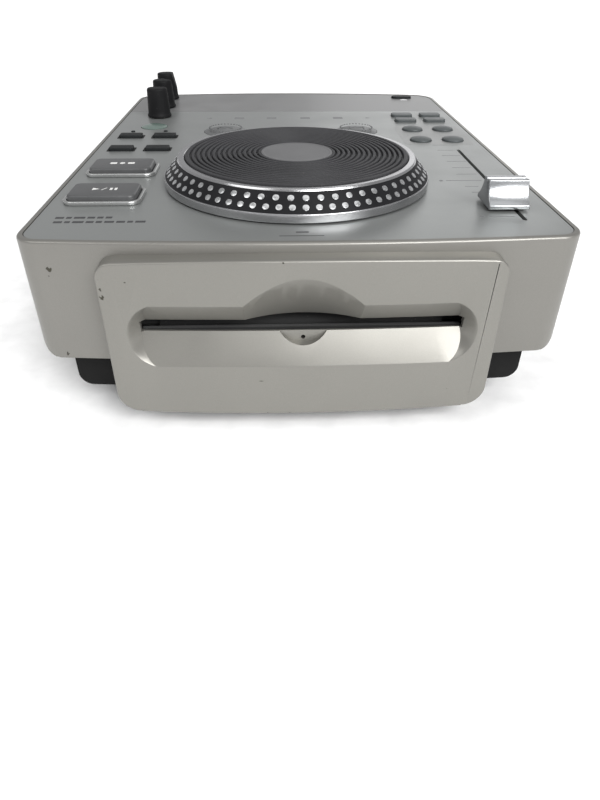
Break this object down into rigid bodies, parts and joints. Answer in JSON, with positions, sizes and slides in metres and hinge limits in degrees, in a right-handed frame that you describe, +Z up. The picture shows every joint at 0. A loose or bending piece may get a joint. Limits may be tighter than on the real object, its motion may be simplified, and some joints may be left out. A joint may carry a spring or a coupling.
{
  "type": "tabletop disc player",
  "caption": "Slot-loading tabletop disc deck with a dotted jog platter, ribbed rubber mat, pitch fader, rotary knobs and sprung keys.",
  "frame": {"origin": "centre of the overall footprint, on the surface that the feet stand on", "axes": "+X to the right, +Y from the slot at the front to the connectors at the back, +Z up"},
  "size_m": [0.216, 0.3108, 0.0968],
  "materials": {
    "silver_paint": "satin",
    "deck_paint": "satin",
    "smoked_window": "gloss",
    "black_plastic": "matte",
    "black_rubber": "matte",
    "mat_rubber": "ribbed",
    "polished_aluminium": "polished",
    "strobe_paint": "satin",
    "grey_cap": "satin",
    "steel": "plain",
    "bronze": "plain",
    "encoder_steel": "blackened",
    "knob_plastic": "soft touch",
    "pot_plastic": "matte",
    "fader_silver": "metallic",
    "key_plastic": "gloss",
    "mode_plastic": "gloss",
    "skip_plastic": "satin",
    "circuit_board": "solder mask",
    "transformer": "matte",
    "display_glass": "gloss"
  },
  "bodies": {
    "housing": {"top_cover": "silver_paint", "deck_panel": "deck_paint", "display_window": "smoked_window", "display_module": "display_glass", "front_bezel": "silver_paint", "dust_seal": "black_rubber", "bottom_chassis": "black_plastic", "rubber_feet": "black_rubber", "case_screws": "steel", "rear_panel": "black_plastic", "rca_jacks": "bronze", "power_inlet": "black_plastic", "rocker_housing": "black_plastic", "jog_bearing": "bronze", "encoder_sensor": "black_plastic", "pot_bodies": "pot_plastic", "key_frames": "silver_paint", "fader_body": "pot_plastic", "key_switches": "black_plastic", "control_board": "circuit_board", "main_board": "circuit_board", "power_supply": "transformer", "drive_frame": "steel", "hub_motor": "steel"},
    "jog": {"platter": "polished_aluminium", "strobe_band": "strobe_paint", "slipmat": "mat_rubber", "centre_disc": "grey_cap", "jog_shaft": "steel", "encoder_disc": "encoder_steel"},
    "knob_1": {"knob_1": "knob_plastic", "pot_shaft_1": "steel"},
    "knob_2": {"knob_2": "knob_plastic", "pot_shaft_2": "steel"},
    "knob_3": {"knob_3": "knob_plastic", "pot_shaft_3": "steel"},
    "fader": {"fader_cap": "fader_silver", "fader_lever": "steel"},
    "play_key": {"play_key": "key_plastic"},
    "cue_key": {"cue_key": "key_plastic"},
    "left_key_1": {"left_key_1": "key_plastic"},
    "left_key_2": {"left_key_2": "key_plastic"},
    "left_key_3": {"left_key_3": "key_plastic"},
    "left_key_4": {"left_key_4": "key_plastic"},
    "mode_key": {"mode_key": "mode_plastic"},
    "skip_back_key": {"skip_back_key": "skip_plastic"},
    "skip_next_key": {"skip_next_key": "skip_plastic"},
    "right_key_1": {"right_key_1": "key_plastic"},
    "right_key_2": {"right_key_2": "key_plastic"},
    "right_key_3": {"right_key_3": "key_plastic"},
    "right_key_4": {"right_key_4": "key_plastic"},
    "right_key_5": {"right_key_5": "key_plastic"},
    "right_key_6": {"right_key_6": "key_plastic"},
    "right_key_7": {"right_key_7": "key_plastic"},
    "right_key_8": {"right_key_8": "key_plastic"},
    "eject_key": {"eject_key": "key_plastic"},
    "rocker": {"power_rocker": "black_plastic"},
    "hub": {"disc_hub": "black_plastic"},
    "pickup": {"pickup_sled": "black_plastic"},
    "roller": {"feed_roller": "black_rubber"}
  },
  "joints": [
    {"name": "jog_spin", "type": "hinge", "parent": "housing", "child": "jog", "pos_m": [0, -0.0676, 0.085], "axis": [0, 0, 1], "continuous": true},
    {"name": "knob_1_turn", "type": "hinge", "parent": "housing", "child": "knob_1", "pos_m": [-0.084, 0.0719, 0.088], "axis": [0, 0, 1], "range_deg": [-140, 140]},
    {"name": "knob_2_turn", "type": "hinge", "parent": "housing", "child": "knob_2", "pos_m": [-0.085, 0.1029, 0.088], "axis": [0, 0, 1], "range_deg": [-140, 140]},
    {"name": "knob_3_turn", "type": "hinge", "parent": "housing", "child": "knob_3", "pos_m": [-0.0864, 0.1334, 0.088], "axis": [0, 0, 1], "range_deg": [-140, 140]},
    {"name": "fader_slide", "type": "slide", "parent": "housing", "child": "fader", "axis": [0, 1, 0], "range_m": [-0.0145, 0.0855]},
    {"name": "play_press", "type": "slide", "parent": "housing", "child": "play_key", "axis": [0, 0, -1], "range_m": [0, 0.001], "stiffness_N_per_m": 400, "springref_m": -0.001},
    {"name": "cue_press", "type": "slide", "parent": "housing", "child": "cue_key", "axis": [0, 0, -1], "range_m": [0, 0.001], "stiffness_N_per_m": 400, "springref_m": -0.001},
    {"name": "left_1_press", "type": "slide", "parent": "housing", "child": "left_key_1", "axis": [0, 0, -1], "range_m": [0, 0.001], "stiffness_N_per_m": 400, "springref_m": -0.001},
    {"name": "left_2_press", "type": "slide", "parent": "housing", "child": "left_key_2", "axis": [0, 0, -1], "range_m": [0, 0.001], "stiffness_N_per_m": 400, "springref_m": -0.001},
    {"name": "left_3_press", "type": "slide", "parent": "housing", "child": "left_key_3", "axis": [0, 0, -1], "range_m": [0, 0.001], "stiffness_N_per_m": 400, "springref_m": -0.001},
    {"name": "left_4_press", "type": "slide", "parent": "housing", "child": "left_key_4", "axis": [0, 0, -1], "range_m": [0, 0.001], "stiffness_N_per_m": 400, "springref_m": -0.001},
    {"name": "mode_press", "type": "slide", "parent": "housing", "child": "mode_key", "axis": [0, 0, -1], "range_m": [0, 0.001], "stiffness_N_per_m": 400, "springref_m": -0.001},
    {"name": "skip_back_press", "type": "slide", "parent": "housing", "child": "skip_back_key", "axis": [0, 0, -1], "range_m": [0, 0.001], "stiffness_N_per_m": 400, "springref_m": -0.001},
    {"name": "skip_next_press", "type": "slide", "parent": "housing", "child": "skip_next_key", "axis": [0, 0, -1], "range_m": [0, 0.001], "stiffness_N_per_m": 400, "springref_m": -0.001},
    {"name": "right_1_press", "type": "slide", "parent": "housing", "child": "right_key_1", "axis": [0, 0, -1], "range_m": [0, 0.001], "stiffness_N_per_m": 400, "springref_m": -0.001},
    {"name": "right_2_press", "type": "slide", "parent": "housing", "child": "right_key_2", "axis": [0, 0, -1], "range_m": [0, 0.001], "stiffness_N_per_m": 400, "springref_m": -0.001},
    {"name": "right_3_press", "type": "slide", "parent": "housing", "child": "right_key_3", "axis": [0, 0, -1], "range_m": [0, 0.001], "stiffness_N_per_m": 400, "springref_m": -0.001},
    {"name": "right_4_press", "type": "slide", "parent": "housing", "child": "right_key_4", "axis": [0, 0, -1], "range_m": [0, 0.001], "stiffness_N_per_m": 400, "springref_m": -0.001},
    {"name": "right_5_press", "type": "slide", "parent": "housing", "child": "right_key_5", "axis": [0, 0, -1], "range_m": [0, 0.001], "stiffness_N_per_m": 400, "springref_m": -0.001},
    {"name": "right_6_press", "type": "slide", "parent": "housing", "child": "right_key_6", "axis": [0, 0, -1], "range_m": [0, 0.001], "stiffness_N_per_m": 400, "springref_m": -0.001},
    {"name": "right_7_press", "type": "slide", "parent": "housing", "child": "right_key_7", "axis": [0, 0, -1], "range_m": [0, 0.001], "stiffness_N_per_m": 400, "springref_m": -0.001},
    {"name": "right_8_press", "type": "slide", "parent": "housing", "child": "right_key_8", "axis": [0, 0, -1], "range_m": [0, 0.001], "stiffness_N_per_m": 400, "springref_m": -0.001},
    {"name": "eject_press", "type": "slide", "parent": "housing", "child": "eject_key", "axis": [0, 0, -1], "range_m": [0, 0.001], "stiffness_N_per_m": 400, "springref_m": -0.001},
    {"name": "power_rock", "type": "hinge", "parent": "housing", "child": "rocker", "pos_m": [0.062, 0.1349, 0.053], "axis": [1, 0, 0], "range_deg": [-14, 0]},
    {"name": "disc_spin", "type": "hinge", "parent": "housing", "child": "hub", "pos_m": [0, -0.0676, 0.0441], "axis": [0, 0, 1], "continuous": true},
    {"name": "pickup_slide", "type": "slide", "parent": "housing", "child": "pickup", "axis": [0, 1, 0], "range_m": [0, 0.029]},
    {"name": "roller_spin", "type": "hinge", "parent": "housing", "child": "roller", "pos_m": [0, -0.1316, 0.0399], "axis": [1, 0, 0], "continuous": true}
  ]
}
